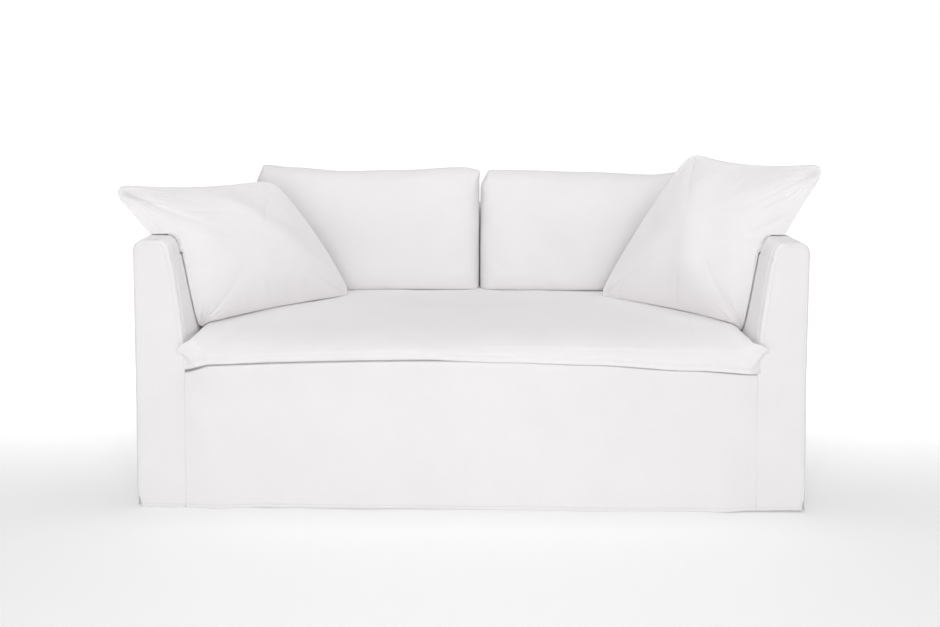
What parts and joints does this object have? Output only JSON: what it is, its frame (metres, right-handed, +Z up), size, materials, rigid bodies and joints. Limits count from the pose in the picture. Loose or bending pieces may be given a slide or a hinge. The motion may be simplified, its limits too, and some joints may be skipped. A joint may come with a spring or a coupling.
{
  "type": "fitted sofa slipcover set",
  "caption": "Fitted linen cover for a small sofa with slim square arms and a floor-length skirt, with its bench cushion, back cushions and throw pillows.",
  "frame": {"origin": "on the floor under the middle of the set's bounding box", "axes": "+X from left to right seen from the front, +Y from the front to the back, +Z up"},
  "size_m": [1.9782, 0.922, 0.9461],
  "materials": {
    "linen": "white washed linen, plain weave with a soft slub, matt",
    "deck_cloth": "white plain-weave deck cloth, matt",
    "cushion_linen": "white washed linen, plain weave with a soft slub, matt, a little rumpled",
    "pillow_linen": "white washed linen, plain weave with a soft slub, matt, with puckers from the corners"
  },
  "bodies": {
    "root": {"front_panel": "linen", "arm_front_left": "linen", "arm_front_right": "linen", "arm_outer_left": "linen", "arm_outer_right": "linen", "arm_inner_left": "linen", "arm_inner_right": "linen", "deck_panel": "deck_cloth", "back_inner": "linen", "back_outer": "linen", "seat_cushion": "cushion_linen", "back_cushion_left": "cushion_linen", "back_cushion_right": "cushion_linen", "throw_pillow_left": "pillow_linen", "throw_pillow_right": "pillow_linen"}
  },
  "joints": []
}
